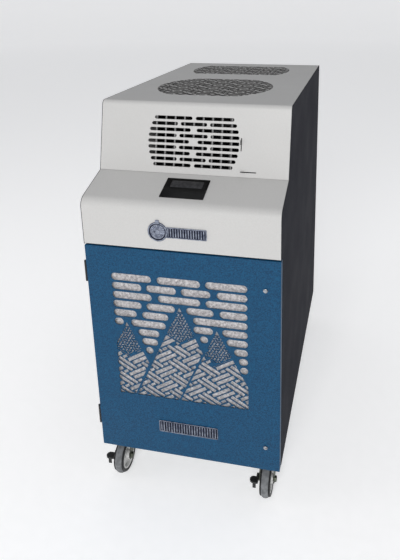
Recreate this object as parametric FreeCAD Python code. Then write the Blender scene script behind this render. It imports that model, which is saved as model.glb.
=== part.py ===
import FreeCAD, Part
import math
import os

from FreeCAD import Placement, Rotation
from FreeCAD import Vector as V

# A commercial dehumidifier on four swivel casters. Millimetres. +Z is up and the door faces -Y.
# The origin is on the floor, under the middle of the cabinet.

# ---------------------------------------------------------------- driving dimensions
WIDTH = 508.0  # cabinet width over the side panels
DEPTH = 940.0  # door face to rear panel
SHEET = 1.5  # thickness of the folded steel sheet
SKIRT_Z = 118.0  # lower edge of the door and of the panels
FLOOR_Z = 128.0  # underside of the base pan, where the casters bolt on
DOOR_TOP_Z = 739.0  # upper edge of the door
FASCIA_Z = 743.0  # lower edge of the control fascia
KNEE_Z = 861.0  # where the fascia meets the control slope
VENT_FOOT_Y, VENT_FOOT_Z = 118.0, 902.5  # lower edge of the inclined vent face, from the door face
VENT_HEAD_Y, VENT_HEAD_Z = 164.0, 1082.0  # its upper edge, where the top begins
KNEE_R = 28.0  # bend between fascia and slope
HEAD_R = 14.0  # bend between vent face and top

FRONT = -DEPTH / 2
BACK = DEPTH / 2
HALF = WIDTH / 2
INNER = HALF - SHEET  # inside face of a side panel
CAB_Y = FRONT + 22.5  # front edge of the cabinet, behind the door
TOP_Z = VENT_HEAD_Z
FIT = 0.05  # radial clearance of a running fit
GAP = 0.4  # clearance between faces that move past each other

# door and its perforation, measured down from DOOR_TOP_Z and across from the middle
DOOR_HALF = 253.5
DOOR_DEPTH = 18.5
GRILLE_X0, GRILLE_X1 = -187.0, 170.0
GRILLE_TOP, GRILLE_FOOT = 72.0, 435.0
SLOT_H = 20.5
SLOT_PITCH = 26.1
WEAVE_Q = 15.0  # pitch of the bars along the weave
WEAVE_ANGLE = 31.0
STROKE_PITCH = 8.8  # fine strokes in the tops of the peaks
TIP_DEPTH = 13.0
CHEVRON_REACH = 200.0  # past the widest peak, on each side of the coarse weave's tip

# vent face: circle of slots in nine rows
VENT_X = 1.5
VENT_R = 122.5
VENT_PITCH = 15.25
VENT_MID = 101.0  # middle row, down the vent face from its upper edge
VENT_SLOT = 9.0

# air deflector behind the vent face
BOX_HALF = 122.0
VANE_COUNT = 9
VANE_PITCH = 25.3
VANE_PIVOT_N = 7.0  # distance of the vane pivots behind the vent face
VANE_CRANK = 42.0  # pivot to link
VANE_REST = 20.0  # degrees that the vanes are turned at rest
BLADE_COUNT = 3
BLADE_PITCH = 43.0
BLADE_PIVOT_N = 63.0
BLADE_CRANK = 28.0
BLADE_REST = 11.3

# fans under the two top grilles
FAN_X = -10.0
FAN_YS = {"front": FRONT + 411.0, "rear": FRONT + 764.0}
FAN_R = 150.0
DECK_Z = 1030.0

# casters
WHEEL_R = 50.0
TREAD_R = 37.0  # where the tyre sits on the wheel centre
WHEEL_W = 30.0
WHEEL_X = 212.5
SWIVEL_Y = DEPTH / 2 - 78.0
TRAIL = 36.0
CASTERS = {
    "front_left": (-WHEEL_X, -SWIVEL_Y, -1),
    "front_right": (WHEEL_X, -SWIVEL_Y, -1),
    "rear_left": (-WHEEL_X, SWIVEL_Y, 1),
    "rear_right": (WHEEL_X, SWIVEL_Y, 1),
}
AXLE_R = 5.0
FORK_IN = 19.0  # inside half width of a fork
FORK_T = 2.5

# outlets in the rear panel
SPOUT_X, SPOUT_Z, SPOUT_R = -225.0, 148.0, 8.0
GLAND_X, GLAND_Z = -100.0, 250.0
GLAND_BORE = 4.6

# door hinges and fasteners
HINGE_X, HINGE_Y = -HALF - 3.0, FRONT + 3.2
HINGE_ZS = (664.0, 219.0)  # middles of the two hinges
HINGE_H = 55.0
PIN_R = 1.5
LATCH_X = 215.5
LATCH_ZS = {"upper": 659.5, "lower": 193.5}
LATCH_STUD_R = 3.0

# rails on the door's back that hold the filter
RAIL_X0, RAIL_X1 = -198.0, 181.0
RAIL_FOOT, RAIL_HEAD = 290.0, 680.0
RAIL_DEPTH = 16.0  # from the door face
RAIL_HOOK = 8.0

# display window on the slope: across, then down from the slope's top
WINDOW_X0, WINDOW_X1 = -56.5, 56.5
WINDOW_HEAD, WINDOW_FOOT = -19.5, -94.5
WINDOW_STEP = 3.0  # overlap of the pane on the sheet

# refrigeration circuit
COIL_X0, COIL_X1 = -190.0, 180.0
COIL_Z0, COIL_Z1 = 205.0, 695.0
COIL_ROW = 25.0  # pitch of the tube rows in depth
COIL_TUBES = 10
COIL_TUBE_PITCH = 49.0
EVAPORATOR_Y = CAB_Y + 34.0
CONDENSER_Y = CAB_Y + 110.0
COMPRESSOR_X, COMPRESSOR_Y = 95.0, 250.0
COMPRESSOR_Z = FLOOR_Z + SHEET + 16.0  # underside of its feet, on the rubber buffers
COMPRESSOR_FEET = 78.0
ACCUMULATOR_X = COMPRESSOR_X - 92.0

X_AXIS, Y_AXIS, Z_AXIS = V(1, 0, 0), V(0, 1, 0), V(0, 0, 1)


# ---------------------------------------------------------------- shape tools
def box(x0, x1, y0, y1, z0, z1):
    return Part.makeBox(x1 - x0, y1 - y0, z1 - z0, V(x0, y0, z0))


def cyl(radius, length, start, axis=Z_AXIS):
    return Part.makeCylinder(radius, length, V(*start), axis)


def tube(outer, inner, length, start, axis=Z_AXIS):
    return cyl(outer, length, start, axis).cut(cyl(inner, length, start, axis))


def fuse(shapes):
    shapes = list(shapes)
    return shapes[0].multiFuse(shapes[1:]).removeSplitter()


def prism(points, direction):
    """Closed outline through the points, pushed along the direction."""
    points = [V(*p) for p in points]
    return Part.Face(Part.makePolygon(points + points[:1])).extrude(direction)


def rounded_path(points, radii):
    """Wire through the points in the YZ plane, each inner corner turned into a tangent arc."""
    points = [V(0, y, z) for y, z in points]
    edges = []
    last = points[0]
    for before, corner, after, radius in zip(points, points[1:], points[2:], radii):
        into = (corner - before).normalize()
        away = (after - corner).normalize()
        turn = into.getAngle(away)
        reach = radius * math.tan(turn / 2)
        start = corner - into * reach
        end = corner + away * reach
        middle = corner + (away - into).normalize() * (radius / math.cos(turn / 2) - radius)
        edges.append(Part.LineSegment(last, start).toShape())
        edges.append(Part.Arc(start, middle, end).toShape())
        last = end
    edges.append(Part.LineSegment(last, points[-1]).toShape())
    return Part.Wire(edges)


def bent_sheet(points, radii, half_width):
    """Folded sheet: its outer side follows the points, its thickness lies to the inside."""
    path = rounded_path(points, radii)
    face = path.makeOffset2D(SHEET, 0, True, True, False)
    face.translate(V(-half_width, 0, 0))
    return face.extrude(V(2 * half_width, 0, 0))


def obround(x0, x1, z, height):
    """Closed outline of a round-ended slot in the XZ plane."""
    r = height / 2
    a, b = x0 + r, max(x1 - r, x0 + r + 0.01)
    edges = [
        Part.LineSegment(V(a, 0, z + r), V(b, 0, z + r)).toShape(),
        Part.Arc(V(b, 0, z + r), V(b + r, 0, z), V(b, 0, z - r)).toShape(),
        Part.LineSegment(V(b, 0, z - r), V(a, 0, z - r)).toShape(),
        Part.Arc(V(a, 0, z - r), V(a - r, 0, z), V(a, 0, z + r)).toShape(),
    ]
    return Part.Wire(edges)


def cutters(wires, direction):
    """One compound of prisms, for punching many holes at once."""
    return Part.Compound([Part.Face(w).extrude(direction) for w in wires])


def flat(points):
    """Closed outline through (x, z) points in the XZ plane."""
    points = [V(x, 0, z) for x, z in points]
    return Part.makePolygon(points + points[:1])


def rounded_box(x0, x1, y0, y1, z0, z1, r, axis):
    """Box with its four edges along one axis rounded."""
    shape = box(x0, x1, y0, y1, z0, z1)
    edges = [e for e in shape.Edges if abs(e.tangentAt(e.FirstParameter).dot(axis)) > 0.9]
    return shape.makeFillet(r, edges)


# ---------------------------------------------------------------- weave pattern
def clip(points, a, b):
    """Part of a convex outline that lies to the left of the line from a to b."""
    def side(p):
        return (b[0] - a[0]) * (p[1] - a[1]) - (b[1] - a[1]) * (p[0] - a[0])

    kept = []
    for p, q in zip(points, points[1:] + points[:1]):
        sp, sq = side(p), side(q)
        if sp >= 0:
            kept.append(p)
        if sp * sq < 0:
            t = sp / (sp - sq)
            kept.append((p[0] + t * (q[0] - p[0]), p[1] + t * (q[1] - p[1])))
    return kept


def area(points):
    pairs = zip(points, points[1:] + points[:1])
    return sum(p[0] * q[1] - q[0] * p[1] for p, q in pairs) / 2


def tidy(points):
    """Drop points that lie on top of their neighbour."""
    pairs = zip(points, points[-1:] + points[:-1])
    return [p for p, q in pairs if math.dist(p, q) > 0.3]


def clip_all(pieces, field, least=12.0):
    """Pieces cut to a convex field given anticlockwise. Slivers under the least area are dropped."""
    result = []
    for piece in pieces:
        for a, b in zip(field, field[1:] + field[:1]):
            piece = clip(piece, a, b) if piece else piece
        piece = tidy(piece)
        if len(piece) > 2 and area(piece) > least:
            result.append(piece)
    return result


def bar(cx, cy, length, width, angle):
    """Rectangle about a centre, anticlockwise."""
    c, s = math.cos(math.radians(angle)), math.sin(math.radians(angle))
    corners = [(-1, -1), (1, -1), (1, 1), (-1, 1)]
    halves = [(u * length / 2, v * width / 2) for u, v in corners]
    return [(cx + u * c - v * s, cy + u * s + v * c) for u, v in halves]


def weave(x0, x1, y0, y1, origin, q):
    """Basket weave of paired bars at plus and minus WEAVE_ANGLE, with a stub in every gap."""
    c, s = math.cos(math.radians(WEAVE_ANGLE)), math.sin(math.radians(WEAVE_ANGLE))
    step_x, step_y = 6 * q * c, 6 * q * s
    width = q * math.sin(math.radians(2 * WEAVE_ANGLE)) - 0.18 * q
    pieces = []
    for i in range(math.floor((x0 - origin[0]) / step_x) - 1, math.ceil((x1 - origin[0]) / step_x) + 2):
        for j in range(math.floor((y0 - origin[1]) / step_y) - 1, math.ceil((y1 - origin[1]) / step_y) + 2):
            cx, cy = origin[0] + i * step_x, origin[1] + j * step_y
            for side in (-0.5, 0.5):
                pieces.append(bar(cx + side * q * c, cy - side * q * s, 3.7 * q, width, WEAVE_ANGLE))
                dx, dy = side * q * c + step_x / 2, side * q * s + step_y / 2
                pieces.append(bar(cx + dx, cy + dy, 3.7 * q, width, -WEAVE_ANGLE))
            for dx, dy in ((step_x / 2, 0), (0, step_y / 2)):
                pieces.append(bar(cx + dx, cy + dy, 0.95 * q, 0.56 * q, WEAVE_ANGLE))
    return pieces


def strokes(x0, x1, y0, y1, pitch):
    """Short strokes in three directions on a triangular grid."""
    pieces = []
    rise = pitch * math.sqrt(3) / 2
    for j in range(math.ceil((y1 - y0) / rise) + 1):
        for i in range(math.ceil((x1 - x0) / pitch) + 1):
            angle = (0, 60, 120)[(i + 2 * j + i * j) % 3]
            x = x0 + (i + 0.5 * (j % 2)) * pitch
            pieces.append(bar(x, y0 + j * rise, 0.94 * pitch, 0.46 * pitch, angle))
    return pieces


# ---------------------------------------------------------------- cabinet
def side_outline():
    """Side panel seen from the side: stepped behind the door, then flush with fascia and hood."""
    return rounded_path(
        [
            (BACK, SKIRT_Z),
            (CAB_Y, SKIRT_Z),
            (CAB_Y, FASCIA_Z - 2),
            (FRONT, FASCIA_Z - 2),
            (FRONT, KNEE_Z),
            (FRONT + VENT_FOOT_Y, VENT_FOOT_Z),
            (FRONT + VENT_HEAD_Y, VENT_HEAD_Z),
            (BACK, VENT_HEAD_Z),
        ],
        [2, 2, 3, KNEE_R, 4, HEAD_R],
    )


def side_panel(sign):
    path = side_outline()
    ends = path.OrderedVertexes
    closing = Part.LineSegment(ends[-1].Point, ends[0].Point).toShape()
    plate = Part.Face(Part.Wire(path.Edges + [closing])).extrude(V(SHEET, 0, 0))
    plate.translate(V(INNER if sign > 0 else -HALF, 0, 0))
    lo, hi = sorted((sign * (INNER - 12), sign * INNER))
    front_lip = box(lo, hi, CAB_Y, CAB_Y + SHEET, SKIRT_Z + 2, FASCIA_Z - 4)
    rear_lip = box(lo, hi, BACK - 2 * SHEET, BACK - SHEET, FLOOR_Z + 40, TOP_Z - 25)
    foot_lip = box(lo, hi, 50 - SWIVEL_Y, SWIVEL_Y - 50, FLOOR_Z - SHEET, FLOOR_Z)
    panel = fuse([plate, front_lip, rear_lip, foot_lip])
    for x, y, z in rear_screws():
        panel = panel.cut(cyl(2.0, 4, (x, y - 5, z), Y_AXIS))
    return panel


def caster_bolts():
    """Axes of the sixteen bolts that hold the caster plates."""
    spots = []
    for x, y, _ in CASTERS.values():
        spots += [(x + u * 27, y + v * 36) for u in (-1, 1) for v in (-1, 1)]
    return spots


def rear_screws():
    return [
        (side * (INNER - 6), BACK, z)
        for side in (-1, 1)
        for z in (200.0, 470.0, 740.0, 1000.0)
    ]


def base_pan():
    y0, y1 = CAB_Y + 2 * SHEET + 0.5, BACK - SHEET
    half = INNER - 0.2
    wall = 30.0
    pan = box(-half, half, y0, y1, FLOOR_Z, FLOOR_Z + SHEET)
    walls = [
        box(-half, -half + SHEET, y0, y1 - SHEET, FLOOR_Z, FLOOR_Z + wall),
        box(half - SHEET, half, y0, y1 - SHEET, FLOOR_Z, FLOOR_Z + wall),
        box(-half, half, y0, y0 + SHEET, FLOOR_Z, FLOOR_Z + wall),
        box(-half, half, y1 - SHEET, y1, FLOOR_Z, FLOOR_Z + wall),
    ]
    holes = [cyl(4.1, 10, (x, y, FLOOR_Z - 5)) for x, y in caster_bolts()]
    return fuse([pan] + walls).cut(Part.Compound(holes + [drain_spout(0.5)]))


def drain_spout(grow):
    """Room for the drain spout where it passes through the pan's wall and the rear panel."""
    return cyl(SPOUT_R + 1.0 + grow, 48, (SPOUT_X, BACK - 47, SPOUT_Z), Y_AXIS)


def rear_panel():
    panel = box(-INNER + 0.2, INNER - 0.2, BACK - SHEET, BACK, SKIRT_Z + 12, TOP_Z - 17)
    slots = []
    for column in (-1, 0, 1):
        for row in range(9):
            x, z = column * 125.0, 420.0 + row * 16.0
            slots.append(obround(x - 50, x + 50, z, 6.0))
    vents = cutters(slots, V(0, 10, 0))
    vents.translate(V(0, BACK - 5, 0))
    holes = [cyl(2.1, 10, (x, y - 5, z), Y_AXIS) for x, y, z in rear_screws()]
    holes.append(cyl(10.2, 10, (GLAND_X, BACK - 5, GLAND_Z), Y_AXIS))
    return panel.cut(vents).cut(Part.Compound(holes + [drain_spout(0.5)]))


def vent_frame(shape):
    """Place a shape drawn with x across, y inwards and z up onto the inclined vent face."""
    tilt = math.degrees(math.atan2(VENT_HEAD_Y - VENT_FOOT_Y, VENT_HEAD_Z - VENT_FOOT_Z))
    place = Placement(V(0, FRONT + VENT_HEAD_Y, VENT_HEAD_Z), Rotation(X_AXIS, -tilt))
    shape.Placement = place.multiply(shape.Placement)
    return shape


def vent_slots():
    """Rows of two and of three slots by turns, their outer ends on one circle."""
    wires = []
    for row in range(-4, 5):
        half = math.sqrt(VENT_R**2 - (row * VENT_PITCH) ** 2)
        z = -VENT_MID - row * VENT_PITCH
        if row % 2:
            width = (2 * half - 2 * 7.5) / 3
            starts = [-half, -width / 2, half - width]
        else:
            gap = 23.0 - 3.5 * abs(row)
            width = half - gap / 2
            starts = [-half, gap / 2]
        wires += [obround(VENT_X + s, VENT_X + s + width, z, VENT_SLOT) for s in starts]
    wires.append(obround(128.5, 169.5, -171.0, 2.6))
    return wires


def lever_slit():
    """Upright slit beside the circle of slots, for the blade lever."""
    return flat([(127.0, -118.5), (129.6, -118.5), (129.6, -85.0), (127.0, -85.0)])


def top_weave(centre_y, half_depth):
    """Weave openings of a round top grille that is cut straight at front and back."""
    radius = 172.0
    facets = 40
    turn = [2 * math.pi * i / facets for i in range(facets)]
    ring = [(FAN_X + radius * math.cos(t), centre_y + radius * math.sin(t)) for t in turn]
    ring = [(x, min(max(y, centre_y - half_depth), centre_y + half_depth)) for x, y in ring]
    lo, hi = centre_y - half_depth, centre_y + half_depth
    origin = (FAN_X, centre_y)
    bars = weave(FAN_X - radius, FAN_X + radius, lo, hi, origin, 1.2 * WEAVE_Q)
    return clip_all(bars, tidy(ring))


def top_hood():
    half = INNER - 0.1
    path = [
        (FRONT + VENT_FOOT_Y, VENT_FOOT_Z + 1.3),
        (FRONT + VENT_HEAD_Y, VENT_HEAD_Z),
        (BACK, VENT_HEAD_Z),
        (BACK, VENT_HEAD_Z - 16),
    ]
    hood = bent_sheet(path, [HEAD_R, 3.0], half)
    slots = cutters(vent_slots() + [lever_slit()], V(0, 10, 0))
    slots.translate(V(0, -3, 0))
    slots = vent_frame(slots)
    pieces = top_weave(FAN_YS["front"], 144.0) + top_weave(FAN_YS["rear"], 100.0)
    outlines = [[V(x, y, TOP_Z - 5) for x, y in piece] for piece in pieces]
    openings = [Part.Face(Part.makePolygon(o + o[:1])).extrude(V(0, 0, 10)) for o in outlines]
    return hood.cut(slots).cut(Part.Compound(openings))


def slope_frame(shape):
    """Place a shape drawn with x across, y inwards and z up onto the control slope."""
    tilt = math.degrees(math.atan2(VENT_FOOT_Y, VENT_FOOT_Z - KNEE_Z))
    place = Placement(V(0, FRONT + VENT_FOOT_Y, VENT_FOOT_Z), Rotation(X_AXIS, -tilt))
    shape.Placement = place.multiply(shape.Placement)
    return shape


def control_fascia():
    tilt = math.atan2(VENT_HEAD_Y - VENT_FOOT_Y, VENT_HEAD_Z - VENT_FOOT_Z)
    inset = 3.4
    up_y = FRONT + VENT_FOOT_Y + inset
    up_z = VENT_FOOT_Z + inset * (VENT_FOOT_Z - KNEE_Z) / VENT_FOOT_Y
    path = [
        (FRONT + 14, FASCIA_Z),
        (FRONT, FASCIA_Z),
        (FRONT, KNEE_Z),
        (up_y, up_z),
        (up_y + 9 * math.sin(tilt), up_z + 9 * math.cos(tilt)),
    ]
    sheet = bent_sheet(path, [2.5, KNEE_R, 1.6], INNER - 0.1)
    cut = WINDOW_STEP
    window = box(WINDOW_X0 + cut, WINDOW_X1 - cut, -5, 10, WINDOW_FOOT + cut, WINDOW_HEAD - cut)
    return sheet.cut(slope_frame(window))


def display_window():
    """Gloss pane with a step on its back that drops into the slope's cut-out."""
    pane = rounded_box(WINDOW_X0, WINDOW_X1, -1.6, 0, WINDOW_FOOT, WINDOW_HEAD, 2.0, Y_AXIS)
    inset = WINDOW_STEP + 0.1
    step = box(WINDOW_X0 + inset, WINDOW_X1 - inset, 0, 4, WINDOW_FOOT + inset, WINDOW_HEAD - inset)
    return slope_frame(fuse([pane, step]))


def fascia_badge():
    """Blank round medallion with a crown lug and a name bar with no lettering."""
    z = 792.0
    disc = cyl(25.5, 2.2, (-53, FRONT - 2.2, z), Y_AXIS)
    rim = tube(25.5, 22.0, 1.0, (-53, FRONT - 3.2, z), Y_AXIS)
    lug = box(-56.5, -49.5, FRONT - 2.2, FRONT, z + 20, z + 31)
    strip = rounded_box(-32, 72, FRONT - 2.2, FRONT, z - 14, z + 14, 3.0, Y_AXIS)
    return fuse([disc, rim, lug, strip])


def front_frame():
    """Frame behind the door: opening for the coil, slotted holes for the fasteners."""
    y0 = CAB_Y + SHEET
    plate = box(-INNER + 0.2, INNER - 0.2, y0, y0 + SHEET, SKIRT_Z + 6, FASCIA_Z - 3)
    plate = plate.cut(box(-205, 195, y0 - 5, y0 + 5, 200, 705))
    for x0, x1 in ((-205 - SHEET, -205), (195, 195 + SHEET)):
        plate = plate.fuse(box(x0, x1, y0, y0 + 14, 200, 705))
    for z in LATCH_ZS.values():
        plate = plate.cut(cyl(4.6, 10, (LATCH_X, y0 - 5, z), Y_AXIS))
        plate = plate.cut(box(LATCH_X - 2, LATCH_X + 2, y0 - 5, y0 + 5, z - 8.5, z + 8.5))
    return plate.removeSplitter()


def door_gasket():
    y0, y1 = FRONT + DOOR_DEPTH + GAP, CAB_Y + SHEET
    outer = box(-239, 239, y0, y1, SKIRT_Z + 14, DOOR_TOP_Z - 8)
    return outer.cut(box(-229, 229, y0 - 1, y1 + 1, SKIRT_Z + 24, DOOR_TOP_Z - 18))


# ---------------------------------------------------------------- door
def door_slot_rows():
    """Ends of the slots in each row, left to right, in millimetres from the middle.

    Rows alternate three and four slots and give way to the three peaks below."""
    left, right = GRILLE_X0, GRILLE_X1
    return [
        [(left, -79), (-64, 50), (63, right)],
        [(left, -106), (-94, -14), (-1, 76), (92, right)],
        [(left, -80), (-64, 49), (63, right)],
        [(left, -109), (-96, -19), (11, 83), (98, right)],
        [(left, -124), (-109, -38), (28, right)],
        [(left, -162), (-141, -46), (28, 80), (104, right)],
        [(-123, -65), (45, 66), (115, right)],
        [(-114, -70), (134, right)],
        [(-105, -84), (146, right)],
        [(149.5, right)],
    ]


def peak_fields():
    """Convex outlines of the three peaks, anticlockwise in x and height above the door top."""
    foot = -GRILLE_FOOT
    left = [(GRILLE_X0, foot), (-143, foot), (-98, -330), (-153.5, -213), (GRILLE_X0, -280)]
    middle = [(-138, foot), (-19.5, foot), (51, -280), (-7, -153)]
    right = [(-14.5, foot), (GRILLE_X1, foot), (GRILLE_X1, -366), (90, -209)]
    return left, middle, right


def below_chevron(piece, tip, rise):
    """Part of a piece that lies under the arm of the chevron on its own side of the tip."""
    middle = sum(p[0] for p in piece) / len(piece)
    if middle < tip[0]:
        return clip(piece, tip, (tip[0] - 100, tip[1] + 100 * rise))
    return clip(piece, (tip[0] + 100, tip[1] + 100 * rise), tip)


def tip_opening(field):
    """Small triangle in the very top of a peak, inside its two upper edges."""
    apex = max(field, key=lambda p: p[1])
    at = field.index(apex)
    before, after = field[at - 1], field[(at + 1) % len(field)]
    foot = []
    for end in (after, before):
        share = TIP_DEPTH / (apex[1] - end[1])
        foot.append((apex[0] + share * (end[0] - apex[0]), apex[1] - TIP_DEPTH))
    return [apex] + foot


def door_openings():
    """Outlines of every opening in the door: slots, fine strokes in the peaks, weave below."""
    top = DOOR_TOP_Z
    wires = []
    for row, slots in enumerate(door_slot_rows()):
        z = top - GRILLE_TOP - SLOT_H / 2 - row * SLOT_PITCH
        wires += [obround(a, b, z, SLOT_H) for a, b in slots]
    rise = math.tan(math.radians(WEAVE_ANGLE))
    tips = ((-154.0, -314.0), (-9.0, -259.0), (91.0, -308.0))
    origins = ((-127.5, -365.5), (-52.0, -349.8), (103.5, -350.0))
    for field, tip, origin in zip(peak_fields(), tips, origins):
        xs = [p[0] for p in field]
        ys = [p[1] for p in field]
        above = (tip[0], tip[1] + 3.0)
        top_of_arms = above[1] + CHEVRON_REACH * rise
        chevron = [above, (above[0] + CHEVRON_REACH, top_of_arms), (above[0] - CHEVRON_REACH, top_of_arms)]
        ceiling = max(ys) - TIP_DEPTH - 1.5
        under = [(min(xs), above[1]), (max(xs), above[1]), (max(xs), ceiling), (min(xs), ceiling)]
        fine = strokes(min(xs), max(xs), tip[1], max(ys), STROKE_PITCH)
        for limit in (field, chevron, under):
            fine = clip_all(fine, limit, 5.0)
        coarse = weave(min(xs), max(xs), min(ys), max(ys), origin, WEAVE_Q)
        coarse = [below_chevron(piece, tip, rise) for piece in coarse]
        pieces = [tip_opening(field)] + fine + clip_all(coarse, field)
        wires += [flat([(x, z + top) for x, z in piece]) for piece in pieces]
    return wires


def door_panel():
    """Folded pan with rounded front edges, hooked rails for the filter, and the punched openings."""
    y0, y1 = FRONT, FRONT + DOOR_DEPTH
    z0, z1 = SKIRT_Z + 1, DOOR_TOP_Z
    lip = 20.0
    shell = rounded_box(-DOOR_HALF, DOOR_HALF, y0, y1, z0, z1, 2.0, Y_AXIS)
    shell = shell.makeFillet(1.4, [e for e in shell.Edges if abs(e.CenterOfMass.y - y0) < 0.01])
    inside = box(-DOOR_HALF + SHEET, DOOR_HALF - SHEET, y0 + SHEET, y1 - SHEET, z0 + SHEET, z1 - SHEET)
    mouth = box(-DOOR_HALF + lip, DOOR_HALF - lip, y0 + SHEET, y1 + 1, z0 + lip, z1 - lip)
    shell = shell.cut(inside).cut(mouth)
    deep = y0 + RAIL_DEPTH
    rails = [box(RAIL_X0 - SHEET, RAIL_X1 + SHEET, y0 + SHEET, deep, RAIL_FOOT - SHEET, RAIL_FOOT)]
    for x, side in ((RAIL_X0, -1), (RAIL_X1, 1)):
        web = sorted((x, x + side * SHEET))
        hook = sorted((x + side * SHEET, x - side * RAIL_HOOK))
        rails.append(box(web[0], web[1], y0 + SHEET, deep, RAIL_FOOT, RAIL_HEAD))
        rails.append(box(hook[0], hook[1], deep - SHEET, deep, RAIL_FOOT, RAIL_HEAD))
    openings = cutters(door_openings(), V(0, 3, 0))
    openings.translate(V(0, y0 - 1, 0))
    studs = [cyl(LATCH_STUD_R + FIT, 4, (LATCH_X, y0 - 1, z), Y_AXIS) for z in LATCH_ZS.values()]
    return fuse([shell] + rails).cut(openings).cut(Part.Compound(studs))


def door_badge():
    """Blank name bar."""
    return rounded_box(-80, 86, FRONT - 2.0, FRONT, 195, 231, 4.0, Y_AXIS)


def mesh_filter():
    """Washable metal filter: a folded frame round a mat of expanded mesh."""
    y0, y1 = FRONT + 2.2, FRONT + RAIL_DEPTH - 2
    clear = 1.0
    rim = 6.0
    x0, x1 = RAIL_X0 + clear, RAIL_X1 - clear
    z0, z1 = RAIL_FOOT + clear, RAIL_HEAD - clear
    outer = box(x0, x1, y0, y1, z0, z1)
    frame = outer.cut(box(x0 + rim, x1 - rim, y0 - 1, y1 + 1, z0 + rim, z1 - rim))
    mat = box(x0 + rim, x1 - rim, y0 + 1.5, y1 - 3, z0 + rim, z1 - rim)
    return Part.Compound([frame, mat])


def hinge_knuckles(numbers, middle):
    """Barrel pieces of one hinge. Five share its length."""
    share = HINGE_H / 5
    rings = []
    for n in numbers:
        start = middle - HINGE_H / 2 + n * share + 0.15
        rings.append(tube(3.0, PIN_R + FIT, share - 0.3, (HINGE_X, HINGE_Y, start)))
    return rings


def hinge_span(middle):
    return middle - HINGE_H / 2, middle + HINGE_H / 2


def knuckle_room(middle, numbers):
    """Space that the other leaf's knuckles turn in."""
    share = HINGE_H / 5
    low = hinge_span(middle)[0] - 0.3
    return Part.Compound([cyl(3.6, share + 0.6, (HINGE_X, HINGE_Y, low + n * share)) for n in numbers])


def cabinet_hinges():
    """Fixed leaves with their knuckles, and the headed pins in them."""
    solids = []
    for middle in HINGE_ZS:
        low, high = hinge_span(middle)
        leaf = box(-HALF - SHEET, -HALF, HINGE_Y + 2.2, FRONT + 46, low, high)
        leaf = leaf.cut(knuckle_room(middle, (1, 3)))
        solids.append(fuse([leaf] + hinge_knuckles((0, 2, 4), middle)))
        shank = cyl(PIN_R, HINGE_H + 2, (HINGE_X, HINGE_Y, low - 1))
        caps = [cyl(2.6, 1.5, (HINGE_X, HINGE_Y, z)) for z in (low - 2.2, high + 0.7)]
        solids.append(fuse([shank] + caps))
    return Part.Compound(solids)


def door_hinge_leaves():
    """Knuckles with short lugs, welded to the door's edge."""
    share = HINGE_H / 5
    solids = []
    for middle in HINGE_ZS:
        for n, ring in zip((1, 3), hinge_knuckles((1, 3), middle)):
            low = hinge_span(middle)[0] + n * share + 0.15
            lug = box(HINGE_X + 2, -DOOR_HALF, HINGE_Y - 1.5, HINGE_Y + 1.5, low, low + share - 0.3)
            solids.append(fuse([ring, lug]))
    return Part.Compound(solids)


def latch(z):
    """Quarter-turn fastener: slotted head, stud and cross pin."""
    y0 = FRONT - GAP
    head = cyl(5.6, 2.6, (LATCH_X, y0 - 2.6, z), Y_AXIS)
    head = head.makeFillet(0.8, [e for e in head.Edges if abs(e.CenterOfMass.y - (y0 - 2.6)) < 0.01])
    stud = cyl(LATCH_STUD_R, 34, (LATCH_X, y0, z), Y_AXIS)
    pin = cyl(1.1, 14, (LATCH_X, y0 + 31, z - 7))
    groove = box(LATCH_X - 6, LATCH_X + 6, y0 - 3, y0 - 1.4, z - 0.7, z + 0.7)
    return fuse([head, stud, pin]).cut(groove)


# ---------------------------------------------------------------- air deflector
def vane_xs():
    middle = (VANE_COUNT - 1) / 2
    return [(i - middle) * VANE_PITCH for i in range(VANE_COUNT)]


def blade_zs():
    middle = (BLADE_COUNT - 1) / 2
    return [-98.0 + (i - middle) * BLADE_PITCH for i in range(BLADE_COUNT)]


def deflector_box():
    """Open duct behind the vent face. It carries the pivots of vanes and blades."""
    z0, z1 = -168.6, -29.0
    near, far = SHEET + 0.1, 56.0
    walls = [
        box(-BOX_HALF, BOX_HALF, near, far, z1, z1 + SHEET),
        box(-BOX_HALF, BOX_HALF, near, far, z0 - SHEET, z0),
        box(-BOX_HALF - SHEET, -BOX_HALF, near, 69, z0 - SHEET, z1 + SHEET),
        box(BOX_HALF, BOX_HALF + SHEET, near, 69, z0 - SHEET, z1 + SHEET),
    ]
    holes = []
    for x in vane_xs():
        holes.append(cyl(PIN_R + FIT, 160, (x, VANE_PIVOT_N, z0 - 5)))
    for z in blade_zs():
        holes.append(cyl(PIN_R + FIT, 260, (-130, BLADE_PIVOT_N, z), X_AXIS))
    link_window = box(BOX_HALF - 1, BOX_HALF + 3, 44, 60, -163.5, -155.0)
    return vent_frame(fuse(walls).cut(Part.Compound(holes + [link_window])))


def vane(x):
    """Upright vane with a pivot pin at each end, turned to its rest angle."""
    plate = box(-0.6, 0.6, -3.0, VANE_CRANK + 4.5, -167.6, -30.0)
    barrel = cyl(2.2, 137.6, (0, 0, -167.6))
    pins = cyl(PIN_R, 140.2, (0, 0, -168.6 - 0.3 - 1.0))
    shape = fuse([plate, barrel, pins])
    shape.Placement = Placement(V(x, VANE_PIVOT_N, 0), Rotation(Z_AXIS, VANE_REST))
    return vent_frame(shape)


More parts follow.
